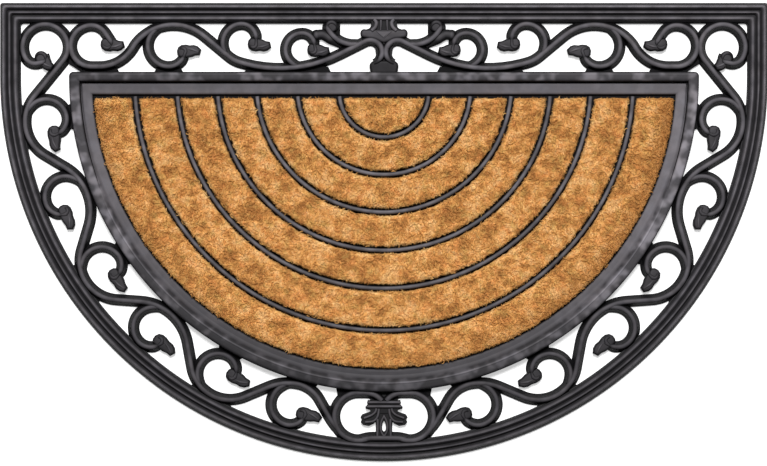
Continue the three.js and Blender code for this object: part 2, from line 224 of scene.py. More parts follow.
# A unit is an eye with its branch and bud. Places in it are (u, v): along its heading, and towards
# the side that its vine runs on. A heading is in radians. A start is the angle from it, in degrees,
# at which the branch begins on the eye, and a radius of 0 stands for no branch.
Unit = namedtuple("Unit", "x y heading side radius start bulb leaf")
ARC_BUD = {"start": 100, "bulb": (12.8, -5.6), "leaf": (32.4, -6.2)}
CORNER_UNIT = Unit(*CORNER[2][:2], -math.pi / 2, 1, 0, 0, (10.5, 4.4), (21.4, -6.8))
STRAIGHT_UNITS = (
    Unit(*STRAIGHT_VINE[2][:2], math.pi, 1, 0, 0, (14.6, -1.6), (32.4, -1.2)),
    Unit(213.4, 184.5, math.pi, -1, 20.5, 97, (14.0, -5.4), (31.8, -5.4)),
    Unit(141.1, 187.4, math.pi, 1, 18.6, 123, (11.6, 1.4), (29.0, 2.6)),
    Unit(81.2, 180.6, math.pi, 1, 16.4, 82, (10.5, 0.2), (27.4, 1.2)),
)

# A bud's outline, with its bulb at (0, 0) and its leaf along the first axis, and the leaf's rib.
BUD = (
    (-3.6, -6.2), (-5.8, -3.4), (-6.3, 0.6), (-4.9, 4.2), (-1.4, 6.4), (3.2, 6.8), (7.4, 6.0),
    (11.8, 6.4), (15.8, 5.2), (19.6, 1.8), (17.8, -3.8), (13.2, -4.2), (9.6, -5.6), (4.0, -6.6),
)
BUD_LENGTH = 19.0
BUD_HEIGHT = 6.4
BUD_EDGE = 2.8
BUD_RIB = ((4.2, 2.6), (10.0, 1.8), (16.4, -0.6))
BUD_RIB_WIDTHS = (0.86, 1, 0.9)
BUD_RIB_BEAD = Bead(1.6, 5.2, 7.4)
RING_BULB = 5.8
RING_BULB_EDGE = 2.2

# Flat webs between the scrolls and the frames: how far they reach from a frame, and half their
# lengths where a vine's bend or a branch meets it. They tuck under the frame, and their ends slant.
WEB_HEIGHT = 2.6
WEB_EDGE = 0.3
WEB_TUCK = 3
WEB_REACH = 5.4
WEB_SLANT = 4.5
STRAIGHT_WEBS = ((261.0, 301.6), (197.6, 229.4), (50.9, 140.0))
TOP_WEBS = ((276.0, 304.0), (326.0, 350.0), (188.0, 222.0), (126.0, 156.0))
INNER_WEB_BEND = 17.8
INNER_WEB_EYE = 15.0
OUTER_WEB_BEND = 24.0
OUTER_WEB_EYE = 13.0
RING_WEB = (43.4, 60.2)
RING_WEB_REACH = 13.8
FORK_WEB = (
    (312.6, 174.3), (303.7, 170.4), (297.7, 157), (301.7, 159.4), (307.6, 163.4), (312.6, 166.4),
)
SCROLL_WEB = ((30.0, -150.0), (48.0, -152.0), (46.2, -161.5), (34.0, -163.0))
LAST_WEB = ((59.0, -172.0), (46.0, -172.0), (49.0, -184.0))

# The leaf beside the middle of the straight side: a wide bead with a narrow start and a blunt tip.
RING_LEAF = ((42.0, 183.8), (47.5, 187.4), (52.6, 191.0), (57.6, 194.2), (62.0, 195.8), (71.4, 194.6))
RING_LEAF_BEAD = Bead(5.6, 2.2, 7.0)
RING_LEAF_START = (15, 0.5)
RING_LEAF_TIP = 4.6

# A flat part of an ornament: the half of its outline with x over 0, whether its corners are
# rounded, its height, and how far its upper edges are rounded.
Part = namedtuple("Part", "half smooth height edge")

# The ornament in the middle of the straight side.
NECK = ((15.6, 211), (13.5, 208), (13.0, 205), (14.4, 202.2), (17.4, 200.6), (17.4, 197))
BAR = (
    (12.0, 201.2), (17.0, 200.9), (20.6, 201.1), (23.1, 199.0), (23.4, 195.8), (22.0, 192.9),
    (17.0, 191.6), (10.0, 190.6), (4.5, 188.2), (0.4, 186.8),
)
BAR_BOSS = ((8.8, 199.0), (0.4, 191.4))
OUTER_FLUTE = ((9.8, 210.6), (8.5, 209.0), (7.6, 206.6), (8.7, 202.8), (12.2, 199.4))
INNER_FLUTE = ((3.1, 210.0), (3.1, 205.0), (3.5, 199.6))
TOP_WEB = ((15, 193), (11, 186), (8.6, 181), (8.0, 175), (8.4, 171), (10, 168))
TOP_BUMP = ((1.8, 188.8), (0.3, 185.8))
FOOT = ((9.4, 170.2), (12.4, 168.6), (14.2, 166.2), (14.3, 162.6), (13.4, 158.4), (13.4, 154))
TOP_PARTS = (
    Part(NECK, True, 5.4, 1.6),
    Part(BAR, True, 6.8, 3.2),
    Part(BAR_BOSS, False, 7.5, 1.6),
    Part(TOP_WEB, False, 4.0, 0.8),
    Part(TOP_BUMP, False, 5.4, 0.4),
    Part(FOOT, True, 5.9, 2.8),
)
OUTER_FLUTE_BEAD = Bead(2.0, 5.6, 8.4)
INNER_FLUTE_BEAD = Bead(1.4, 4.6, 7.1)

# The ornament in the middle of the arc side.
COLLAR = (
    (16.2, -166.6), (17.0, -169.4), (15.7, -170.9), (18.6, -173.2), (18.2, -175.0), (13.8, -176.4),
    (13.4, -180),
)
COLLAR_BEADS = ((15.8, -168.6), (17.2, -172.7))
COLLAR_WEB = ((17, -157), (14, -166), (12, -170))
BOTTOM_BUMP = ((2.4, -161.2), (0.3, -163.8))
STEM = ((12.8, -176), (11.0, -181), (9.0, -187), (8.2, -192), (8.4, -205))
LOBE = (
    (8.0, -176.6), (13.2, -177.8), (21.6, -180.6), (23.4, -183.4), (21.9, -186.0), (23.2, -188.2),
    (20.8, -191.2), (15.0, -192.2), (9.8, -189.8), (7.0, -186.0),
)
UPPER_FROND = ((7.4, -174.6), (8.4, -177.6), (10.2, -179.8), (13.4, -181.8), (19.8, -184.2))
LOWER_FROND = ((5.0, -175.0), (5.8, -180.6), (7.6, -184.6), (11.2, -187.4), (18.6, -188.2))
OVAL_RIM = ((0.0, -182.4), (2.0, -186.0), (3.3, -190.4), (3.4, -194.6), (2.2, -198.8), (0.0, -202.2))
OVAL_HOLE = ((0.0, -187.0), (1.3, -189.6), (1.9, -193.0), (1.5, -196.2), (0.0, -197.8))
SIDE_STEM = ((6.4, -185.0), (6.2, -192.0), (6.6, -202.0))
BOTTOM_PARTS = (
    Part(COLLAR, False, 5.6, 0.8),
    Part(COLLAR_WEB, False, WEB_HEIGHT, WEB_EDGE),
    Part(BOTTOM_BUMP, False, 5.0, 0.4),
)
STEM_PART = Part(STEM, True, 5.0, 0.8)
LOBE_HEIGHT = 5.2
LOBE_EDGE = 1.0
COLLAR_BEAD = Bead(1.5, 5.6, 8.0)
OVAL_BEAD = Bead(1.4, 4.8, 7.4)
FROND_BEAD = Bead(1.5, 4.8, 7.5)


def curved(points, steps=6):
    """A smooth line through points, with a few steps between each two."""
    padded = [points[0], *points, points[-1]]
    line = []
    for i in range(1, len(padded) - 2):
        a, b, c, d = (Vector(point) for point in padded[i - 1:i + 3])
        for k in range(steps):
            t = k / steps
            bend = 2 * b + (c - a) * t + (2 * a - 5 * b + 4 * c - d) * t ** 2
            line.append(tuple((bend + (3 * b - a - 3 * c + d) * t ** 3) / 2))
    return [*line, points[-1]]


def both_halves(half, smooth=True):
    """A closed outline from its half with x over 0."""
    right = curved(half, 4) if smooth else half
    return [*right, *((-x, y) for x, y in reversed(right) if x > 0)]


def deselect():
    """Leaves nothing selected."""
    bpy.ops.object.select_all(action="DESELECT")


def pick(*pieces):
    """Selects only these objects, and makes the first one active."""
    deselect()
    for piece in pieces:
        piece.select_set(True)
    bpy.context.view_layer.objects.active = pieces[0]


def draw(runs, closed=False):
    """A flat curve of straight steps through each run of points, which are in millimetres."""
    deselect()
    bpy.ops.curve.primitive_nurbs_path_add()
    piece = bpy.context.object
    curve = piece.data
    curve.splines.clear()
    curve.dimensions = "2D"
    curve.fill_mode = "NONE"
    for run in runs:
        spline = curve.splines.new("POLY")
        spline.points.add(len(run) - 1)
        spline.use_cyclic_u = closed
        for point, (x, y) in zip(spline.points, run):
            point.co = (x * MM, y * MM, 0, 1)
    return piece


def to_mesh(piece):
    """Turns a curve into a closed mesh whose faces point outwards."""
    pick(piece)
    bpy.ops.object.convert(target="MESH")
    piece = bpy.context.object
    bpy.ops.object.mode_set(mode="EDIT")
    bpy.ops.mesh.select_all(action="SELECT")
    bpy.ops.mesh.remove_doubles(threshold=1e-6)
    bpy.ops.mesh.normals_make_consistent(inside=False)
    bpy.ops.object.mode_set(mode="OBJECT")
    return piece


def sweep(runs, section, closed=False, widths=None):
    """Carries a section of (side, height) rows along each run. Widths scale it at each point."""
    outline = draw([section], closed=True)
    line = draw(runs, closed)
    curve = line.data
    curve.bevel_mode = "OBJECT"
    curve.bevel_object = outline
    curve.use_fill_caps = True
    for spline, shares in zip(curve.splines, widths or ()):
        for point, share in zip(spline.points, shares):
            point.radius = share
    piece = to_mesh(line)
    bpy.data.objects.remove(outline)
    return piece


def plate(outline, height, edge, holes=()):
    """A plate on the floor with rounded upper edges, from its outline in millimetres."""
    piece = draw([outline, *holes], closed=True)
    curve = piece.data
    curve.fill_mode = "BOTH"
    curve.extrude = (height / 2 - edge) * MM
    curve.bevel_depth = edge * MM
    curve.bevel_resolution = 3
    curve.offset = -edge * MM
    piece = to_mesh(piece)
    for vertex in piece.data.vertices:
        vertex.co.z = vertex.co.z + height / 2 * MM if vertex.co.z > 0 else 0
    return piece


def modify(piece, kind, **settings):
    """Adds a modifier to the active piece, and applies it."""
    modifier = piece.modifiers.new(kind, kind)
    for name, value in settings.items():
        setattr(modifier, name, value)
    bpy.ops.object.modifier_apply(modifier=modifier.name)


def mirrored(piece):
    """Adds the same shape on the other side of the middle line."""
    pick(piece)
    modify(piece, "MIRROR", use_mirror_merge=False)
    return piece


def finished(parts, name, finish, flat=False):
    """Joins parts into one named rubber piece that rides with the mat. Flat faces keep flat shading."""
    pick(*parts)
    if len(parts) > 1:
        bpy.ops.object.join()
    piece = bpy.context.object
    piece.name = name
    piece.data.name = name
    piece.data.materials.clear()
    piece.data.materials.append(bpy.data.materials[finish])
    bpy.ops.object.shade_smooth_by_angle(angle=CREASE)
    if flat:
        modify(piece, "WEIGHTED_NORMAL", keep_sharp=True)
    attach(piece, "root")
    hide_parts(RUBBER_NODE)


def arc(x, y, radius, start, end, steps):
    """Points on a circle from one angle to another, in radians."""
    angles = (start + (end - start) * i / steps for i in range(steps + 1))
    return [(x + radius * math.cos(a), y + radius * math.sin(a)) for a in angles]


def half_round(radius, rise, corner=0.0):
    """The mat's half-round outline: an arc, and a straight edge that lies rise above its centre."""
    cut = math.asin(max(0.0, -rise) / radius)
    round_side = arc(0, ARC_Y, radius, math.pi + cut, 2 * math.pi - cut, ARC_STEPS)
    if rise <= 0:
        return round_side
    x, y = radius - corner, ARC_Y + rise - corner
    if not corner:
        return [(-x, y), *round_side, *((x * (1 - i / 6), y) for i in range(12))]
    right = arc(x, y, corner, 0, math.pi / 2, 6)
    left = arc(-x, y, corner, math.pi / 2, math.pi, 6)
    return [*left, *round_side, *right]


def route(pegs, start=None, end=None):
    """Points along a run round pegs: an arc on each, and a straight tangent to the next.

    Start and end are angles in degrees. Where one is left out, the run winds in a curl there."""
    headings = []
    for a, b in zip(pegs, pegs[1:]):
        across = math.hypot(b.x - a.x, b.y - a.y)
        bulge = (b.turn * b.radius - a.turn * a.radius) / across
        bearing = math.atan2(b.y - a.y, b.x - a.x)
        headings.append(bearing - math.asin(max(-1.0, min(1.0, bulge))))
    points = []
    for i, peg in enumerate(pegs):
        quarter = peg.turn * math.pi / 2
        curl = peg.turn * math.radians(CURL_TURN)
        if 0 < i < len(pegs) - 1:
            first, last = headings[i - 1] - quarter, headings[i] - quarter
        elif i == 0:
            last = headings[0] - quarter
            first = last - curl if start is None else math.radians(start)
        else:
            first = headings[-1] - quarter
            last = first + curl if end is None else math.radians(end)
        swept = (peg.turn * (last - first)) % (2 * math.pi)
        steps = max(1, round(swept / PEG_STEP))
        for point in arc(peg.x, peg.y, peg.radius, first, first + peg.turn * swept, steps):
            if not points or math.dist(points[-1], point) > LEAST_STEP:
                points.append(point)
    return points


def reaches(run):
    """How far each point of a run lies from its start."""
    far = [0.0]
    for a, b in zip(run, run[1:]):
        far.append(far[-1] + math.dist(a, b))
    return far


def drawn_in(run, start, end=(1, 1)):
    """Widths along a run that is narrower at its ends, each given as (stretch, share)."""
    far = reaches(run)
    widths = []
    for reach in far:
        width = 1.0
        for gone, (stretch, share) in ((reach, start), (far[-1] - reach, end)):
            t = min(1.0, gone / stretch)
            width *= share + (1 - share) * t * t * (3 - 2 * t)
        widths.append(width)
    return widths


def thumb(points, cap):
    """A run that ends bluntly like a thumb, and its widths. Cap is the length of the round end."""
    tip = Vector(points[-1])
    along = (tip - Vector(points[-2])).normalized()
    body = [point for point in points if (tip - Vector(point)).dot(along) > cap + 0.6]
    shares = (0.0, 0.4, 0.65, 0.82, 0.94, 1.0)
    ends = [tuple(tip - along * cap * (1 - share)) for share in shares]
    round_end = (max(0.1, (1 - share ** 2.4) ** (1 / 2.4)) for share in shares)
    return [*body, *ends], [*([0.94] * len(body)), *round_end]


def dome(half, low, high, steps=8):
    """The rows of a round top, from its right foot over to its left."""
    angles = (math.pi * i / steps for i in range(steps + 1))
    return [(half * math.cos(a), low + (high - low) * math.sin(a)) for a in angles]


def bead_section(half, foot, top, spread=0.0):
    """A round bead's rows. With a spread, its flanks slope down to that half-width at the floor."""
    if not spread:
        return [(half, 0), *dome(half, foot, top), (-half, 0)]
    right = [(spread - inward, height) for inward, height in SCROLL_FLANK]
    left = [(-side, height) for side, height in reversed(right)]
    return [*right, *dome(half, foot, top, 10), *left]


def scroll_section(sizes, sink=0.0):
    """The rows of a scroll's bead, which lies lower by sink millimetres."""
    top = sizes.bead_height / MM - sink
    return bead_section(sizes.bead_width / 2 / MM, top - SCROLL_CROWN, top, sizes.foot_width / 2 / MM)


class Link:
    """A node's output. Python's operators on it add Math nodes."""

    def __init__(self, nodes, socket):
        self.nodes = nodes
        self.socket = socket

    def math(self, operation, *values):
        return self.nodes.add("ShaderNodeMath", {"operation": operation}, dict(enumerate(values)))

    def __add__(self, other):
        return self.math("ADD", self, other)

    __radd__ = __add__

    def __sub__(self, other):
        return self.math("SUBTRACT", self, other)

    def __rsub__(self, other):
        return self.math("SUBTRACT", other, self)

    def __mul__(self, other):
        return self.math("MULTIPLY", self, other)

    __rmul__ = __mul__

    def between(self, low, high):
        """0 below low, 1 above high, and a smooth step between."""
        settings = {"interpolation_type": "SMOOTHSTEP"}
        return self.nodes.add("ShaderNodeMapRange", settings, {"Value": self, 1: low, 2: high})


class Nodes:
    """Adds nodes to one tree, of a material or of geometry."""

    def __init__(self, tree):
        self.tree = tree

    def make(self, kind, settings=None, inputs=None):
        """A node with its settings made first, and then its sockets' values or links."""
        node = self.tree.nodes.new(kind)
        for name, value in (settings or {}).items():
            if name == "stops":
                self.set_stops(node.color_ramp.elements, value)
            else:
                setattr(node, name, value)
        self.fill(node, inputs or {})
        return node

    def add(self, kind, settings=None, inputs=None, output=0):
        """The same, as a link to one of the node's outputs."""
        return Link(self, self.make(kind, settings, inputs).outputs[output])

    def fill(self, node, inputs):
        """Gives a node's sockets their values or links."""
        for key, value in inputs.items():
            if isinstance(value, Link):
                self.tree.links.new(value.socket, node.inputs[key])
            else:
                node.inputs[key].default_value = value

    @staticmethod
    def set_stops(elements, stops):
        """Gives a colour ramp its stops, as (position, colour)."""
        while len(elements) < len(stops):
            elements.new(0.5)
        for element, (position, colour) in zip(elements, stops):
            element.position = position
            element.color = (*colour, 1)

    def noise(self, place, size, detail, roughness=0.5):
        """Noise from 0 to 1 whose blotches are about size millimetres across."""
        values = {"Vector": place, "Scale": 1 / (size * MM), "Detail": detail, "Roughness": roughness}
        return self.add("ShaderNodeTexNoise", None, values)

    def parts(self, place):
        """A place's X, Y and Z."""
        node = self.make("ShaderNodeSeparateXYZ", None, {0: place})
        return [Link(self, socket) for socket in node.outputs]

    def mix(self, share, first, second):
        """A colour between two."""
        values = {0: share, 6: first, 7: second}
        return self.add("ShaderNodeMix", {"data_type": "RGBA"}, values, output=2)


def material(name, roughness):
    """A new material: its nodes, its shader, and the places on the piece."""
    made = bpy.data.materials.new(name)
    made.use_nodes = True
    nodes = Nodes(made.node_tree)
    shader = made.node_tree.nodes["Principled BSDF"]
    nodes.fill(shader, {"Roughness": roughness})
    place = nodes.add("ShaderNodeTexCoord", output="Object")
    return made, nodes, shader, place


def rubber(name, settings, bloom_and_sheen=0.0, crest=0.0, low=0.0, high=1.0, shine=1.0):
    """Black rubber with a pale bloom in patches, and with a painted highlight on crests between two
    heights in millimetres.

    Patches show only on level faces, which leaves slopes darker as painted shade, and most on the
    raised ones. They are strongest towards the straight side, though weaker on that side itself, and on
    the right."""
    made, nodes, shader, place = material(name, settings.roughness)
    clouds = nodes.noise(place, 22, 1, 0.4)
    patches = nodes.noise(place, 9, 1, 0.4)
    grain = nodes.noise(place, 2.2, 3, 0.6)
    across, depth, height = nodes.parts(place)
    # Painted highlight: crests between low and high take the pale colour.
    crest_highlight = height.between(low * MM, high * MM)
    raised = height.between(7.4 * MM, 9.4 * MM)
    # Painted light and shade: the bloom shows only on faces that look up, so slopes stay darker.
    normal = nodes.add("ShaderNodeNewGeometry", output="Normal")
    level = nodes.parts(normal)[2].between(0.45, 0.95)
    blotch = (clouds * 0.5 + patches * 0.5).between(0.42, 0.66)
    bloom_and_highlight = (blotch * (raised * 0.45 + 0.1) + grain * 0.1 - raised * 0.2 + 0.32) * (level * bloom_and_sheen)
    upwards = depth.between(-0.17, 0.1) * 0.9 - depth.between(0.13, 0.15) * 0.5
    bloom_and_highlight = bloom_and_highlight * (upwards + across * 0.5 + 0.4)
    # The painted crest highlight is added in patches, a little stronger towards the straight side.
    bloom_and_highlight = bloom_and_highlight + crest_highlight * (patches + clouds * 0.8) * (crest * (depth.between(-0.2, 0.2) * 0.4 + 0.65))
    black = (*settings.colour, 1)
    pale = nodes.mix(nodes.noise(place, 12, 2), (*settings.bloom_and_sheen, 1), (*settings.warm_bloom_and_sheen, 1))
    pits = nodes.noise(place, 0.9, 2, 0.6) * 0.5 + nodes.noise(place, 6, 2) * 0.5
    bump = {"Height": pits, "Strength": 0.35, "Distance": 0.25 * MM}
    nodes.fill(shader, {
        "Base Color": nodes.mix(bloom_and_highlight, black, pale),
        "Roughness": settings.roughness + (grain - 0.5) * 0.16 + bloom_and_highlight * 0.1,
        "Specular IOR Level": settings.shine * shine,
        "Normal": nodes.add("ShaderNodeBump", None, bump),
    })
    return made


def coir(name, settings, fibres):
    """Golden tan coconut fibre, mottled by clumps. Fibres also differ one by one, by their tone.

    The field has painted shade along its outer arc, most of all on the right, and painted shade deep in
    the pile."""
    made, nodes, shader, place = material(name, 0.92)
    clouds = nodes.noise(place, 14, 2)
    clumps = nodes.noise(place, 4.6, 2)
    shade = clouds * 0.7 + clumps * 0.3
    if fibres:
        tone = nodes.add("ShaderNodeAttribute", {"attribute_name": "tone"}, output="Fac")
        shade = shade * 0.95 + tone * 0.05
    else:
        shade = shade * 0.88 + nodes.noise(place, 1.2, 1) * 0.12
    stops = ((0.4, settings.dark), (0.47, settings.middle), (0.53, settings.light), (0.6, settings.pale))
    colour = nodes.add("ShaderNodeValToRGB", {"stops": stops}, {0: shade})
    shifted = nodes.add("ShaderNodeMapping", None, {"Vector": place, "Location": (0.3, 0.1, 0)})
    hue = nodes.noise(shifted, 8, 2)
    colour = nodes.mix(hue.between(0.52, 0.72) * 0.5, colour, (*settings.green, 1))
    colour = nodes.mix((1 - hue).between(0.52, 0.72) * 0.5, colour, (*settings.orange, 1))
    across, depth, height = nodes.parts(place)
    # Painted shade along the outer arc: the colour goes towards the dark colour, more on the right and
    # less at the bottom.
    middle = {0: place, 1: (0, ARC_Y * MM, 0)}
    reach = nodes.add("ShaderNodeVectorMath", {"operation": "DISTANCE"}, middle, output="Value")
    rim = reach.between((PAD_RADIUS - DARK_RIM) * MM, PAD_RADIUS * MM)
    rim = rim * (across * 0.9 + depth * 1.9 + 0.6)
    colour = nodes.mix(rim, colour, (*settings.dark, 1))
    # Painted shade deep in the pile: lower down, the colour goes towards the root colour.
    shown = height.between(settings.pile_height - 5.0 * MM, settings.pile_height - 2.0 * MM)
    colour = nodes.mix(shown, (*settings.root, 1), colour)
    nodes.fill(shader, {"Base Color": colour, "Specular IOR Level": 0.2})
    return made


def colour_prop(name, description, default):
    """A colour that a user can change."""
    return bpy.props.FloatVectorProperty(
        name=name, description=description, default=default, subtype="COLOR", min=0, max=1)


def number_prop(name, description, default, **settings):
    """A number that a user can change, with its property's other settings."""
    return bpy.props.FloatProperty(name=name, description=description, default=default, **settings)


def length_prop(name, description, default, least=0.001):
    """A length in metres that a user can change."""
    return number_prop(name, description, default, min=least, unit="LENGTH")


def angle_prop(name, description, degrees):
    """An angle that a user can change. Its default is given in degrees."""
    return number_prop(name, description, math.radians(degrees), subtype="ANGLE")


class DoormatRubber(bpy.types.PropertyGroup):
    """Sizes and colours of the rubber moulding."""

    bead_width: length_prop("Bead width", "Width of the round crest on every scroll", 0.0058)
    foot_width: length_prop("Foot width", "Width of a scroll at the floor", 0.0117)
    bead_height: length_prop("Bead height", "Height of the crest over the floor", 0.0082, 0.004)
    colour: colour_prop("Rubber", "Colour of the clean rubber", (0.0055, 0.0052, 0.006))
    # The bloom colours also paint the highlight on crests and the light on faces that look up.
    bloom_and_sheen: colour_prop("Bloom", "Colour of the pale haze on the rubber", (0.29, 0.28, 0.32))
    warm_bloom_and_sheen: colour_prop("Warm bloom", "Colour of the haze's warmer patches", (0.30, 0.27, 0.285))
    roughness: number_prop("Roughness", "How matt the rubber is", 0.6, min=0, max=1, subtype="FACTOR")
    shine: number_prop("Shine", "How much the rubber reflects", 0.22, min=0, max=1, subtype="FACTOR")


class DoormatCoir(bpy.types.PropertyGroup):
    """Sizes and colours of the coir pads."""

    pile_height: length_prop(
        "Pile height", "Height of the pile over the floor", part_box(COIR_NODES[0])[1].z, 0.006)
    fibre_length: length_prop("Fibre length", "Length of a fibre outside its pad", 0.003)
    fibre_width: length_prop("Fibre width", "Width of a fibre at its root", 0.0009, 0.0001)
    fibre_spacing: length_prop("Fibre spacing", "Least distance between two roots", 0.00072, 0.0004)
    curl_spacing: length_prop("Curl spacing", "Least distance between two curled fibres on top", 0.0032)
    lean: angle_prop("Lean", "How far a fibre may lean", 32)
    pale: colour_prop("Pale fibre", "Colour of the palest fibres", (0.88, 0.56, 0.24))
    light: colour_prop("Light fibre", "Colour of most fibres in the light", (0.82, 0.455, 0.152))
    middle: colour_prop("Middle fibre", "Colour between the clumps", (0.69, 0.355, 0.105))
    # The dark colour also paints the shade along the field's outer arc.
    dark: colour_prop("Dark fibre", "Colour of the dark flecks", (0.50, 0.23, 0.065))
    green: colour_prop("Green patch", "Colour of patches that are a little green", (0.64, 0.43, 0.135))
    orange: colour_prop("Orange patch", "Colour of patches that are a little orange", (0.85, 0.39, 0.125))
    # The root colour is painted shade deep in the pile.
    root: colour_prop("Root", "Colour deep in the pile", (0.36, 0.17, 0.05))


class DoormatStage(bpy.types.PropertyGroup):
    """Floor, light and camera."""

    floor: colour_prop("Floor", "Colour of the floor", (0.8, 0.8, 0.8))
    floor_glow: number_prop("Floor glow", "Light that the floor gives off by itself", 0.5, min=0)
    key: number_prop("Key light", "Strength of the light high over the straight edge", 3.9, min=0)
    key_height: angle_prop("Key height", "How high the key light stands over the floor", 57)
    key_softness: angle_prop("Key softness", "How wide the key light looks from the mat", 26)
    surround: number_prop("Surround", "Strength of the light from all round", 0.1, min=0)
    camera_height: length_prop("Camera height", "Height of the camera over the floor", 2.8, 0.5)
    view_width: length_prop("View width", "Width of the floor in the picture", 0.7611, 0.1)


class DOORMAT_OT_outer_frame(bpy.types.Operator):
    """Builds the outer frame with its three ridges."""

    bl_idname = "doormat.outer_frame"
    bl_label = "Outer frame"

    def execute(self, context):
        section = [(0, 0)]
        for ridge in RIDGES:
            for share in RIDGE_ROWS:
                crown = 0.5 + 0.5 * math.cos(math.pi * share)
                height = GROOVE + (ridge.height - GROOVE) * crown
                section.append((ridge.crest + ridge.half * share, height))
        section += [(FRAME_WIDTH - inward, FLANGE - down) for inward, down in FLANGE_EDGE]
        ring = sweep([half_round(RADIUS, STRAIGHT)], section, closed=True)
        self.round_corners(ring)
        finished([ring], "outer_frame", "rubber_ridges")
        return {"FINISHED"}

    def round_corners(self, ring):
        """Rounds each ridge a little where it turns the corner."""
        right, top = RADIUS * MM, (ARC_Y + STRAIGHT) * MM
        at_corner = [abs((right - abs(v.co.x)) - (top - v.co.y)) < 1e-5 for v in ring.data.vertices]
        pick(ring)
        bpy.ops.object.mode_set(mode="EDIT")
        bpy.ops.mesh.select_mode(type="EDGE")
        bpy.ops.mesh.select_all(action="DESELECT")
        bpy.ops.object.mode_set(mode="OBJECT")
        for edge in ring.data.edges:
            edge.select = all(at_corner[i] for i in edge.vertices)
        bpy.ops.object.mode_set(mode="EDIT")
        bpy.ops.mesh.bevel(offset=CORNER_BEVEL * MM, offset_type="ABSOLUTE", segments=3, affect="EDGES")
        bpy.ops.object.mode_set(mode="OBJECT")


class DOORMAT_OT_inner_frame(bpy.types.Operator):
    """Builds the two bands of the inner frame, the sheet under the coir and the ribs."""

    bl_idname = "doormat.inner_frame"
    bl_label = "Inner frame and ribs"

    def execute(self, context):
        inside = Outline(STEP.radius - SEAM, STEP.rise - SEAM)
        outer_band = plate(half_round(*TRAY, TRAY_CORNER), *OUTER_BAND, [half_round(*STEP)])
        inner_band = plate(half_round(*inside), *INNER_BAND, [half_round(*RIM)])
        finished([outer_band, inner_band], "inner_frame", "rubber_bands", flat=True)
        under = Outline(STEP.radius + SHEET_MARGIN, STEP.rise + SHEET_MARGIN)
        sheet = plate(half_round(*under), FLANGE, SHEET_EDGE)
        finished([sheet], "field_sheet", "rubber_low", flat=True)
        run = half_round(LIP_RADIUS, STEP.rise)
        lip = sweep([run], LIP, widths=[drawn_in(run, LIP_ENDS, LIP_ENDS)])
        finished([lip], "inner_lip", "rubber_bands")
        section = bead_section(RIB_WIDTH / 2, RIB_HEIGHT - RIB_CROWN, RIB_HEIGHT)
        runs = []
        for rib in RIBS:
            ends = RIB_TUCK - RIM.rise
            cut = math.asin((ends - rib.drop) / rib.radius)
            steps = round(math.pi * rib.radius / FACET)
            runs.append(arc(0, ARC_Y - rib.drop, rib.radius, math.pi + cut, 2 * math.pi - cut, steps))
        finished([sweep(runs, section)], "ribs", "rubber_ribs")
        return {"FINISHED"}


def on_arc(angle, reach):
    """A place on the arc side, at an angle below the middle of the arcs."""
    return reach * math.cos(angle), ARC_Y - reach * math.sin(angle)


def on_unit(unit, u, v):
    """A unit's (u, v) as a place on the mat."""
    cos, sin = math.cos(unit.heading), math.sin(unit.heading)
    v *= unit.side
    return unit.x + u * cos - v * sin, unit.y + u * sin + v * cos


def arc_units():
    """The units along the arc side, from the corner down."""
    units = []
    for k in range(WAVE_BENDS):
        angle = FIRST_EYE + k * WAVE_PITCH
        x, y = on_arc(angle, EYE.reach)
        side = 1 if k % 2 == 0 else -1
        units.append(Unit(x, y, -math.pi / 2 - angle, side, EYE.radius, **ARC_BUD))
    return units


def branch_route(unit):
    """A branch: round the eye, tighter towards its bud, and in a curl round that."""
    pegs = (
        Peg(unit.x, unit.y, unit.radius, unit.side),
        Peg(*on_unit(unit, 0, -TIGHTEN), unit.radius - TIGHTEN, unit.side),
        Peg(*on_unit(unit, *unit.bulb), CURL_RADIUS, unit.side),
    )
    return route(pegs, start=math.degrees(unit.heading) + unit.side * unit.start)


def scrolls(runs, sizes, name, sink=0.0, start=SCROLL_START):
    """One piece of scrollwork from runs that each end in a curl. It lies lower by sink millimetres."""
    section = scroll_section(sizes, sink)
    curl_section = bead_section(*CURL_BEAD)
    strands = []
    curls = []
    for run in runs:
        far = reaches(run)
        strands.append([p for p, reach in zip(run, far) if far[-1] - reach > CURL_LENGTH])
        curls.append([p for p, reach in zip(run, far) if far[-1] - reach < CURL_LENGTH + CURL_OVERLAP])
    widths = [drawn_in(run, start, SCROLL_END) for run in strands]
    curl_widths = [drawn_in(run, CURL_START, CURL_END) for run in curls]
    parts = [sweep(strands, section, widths=widths), sweep(curls, curl_section, widths=curl_widths)]
    finished([mirrored(part) for part in parts], name, "rubber_scroll")


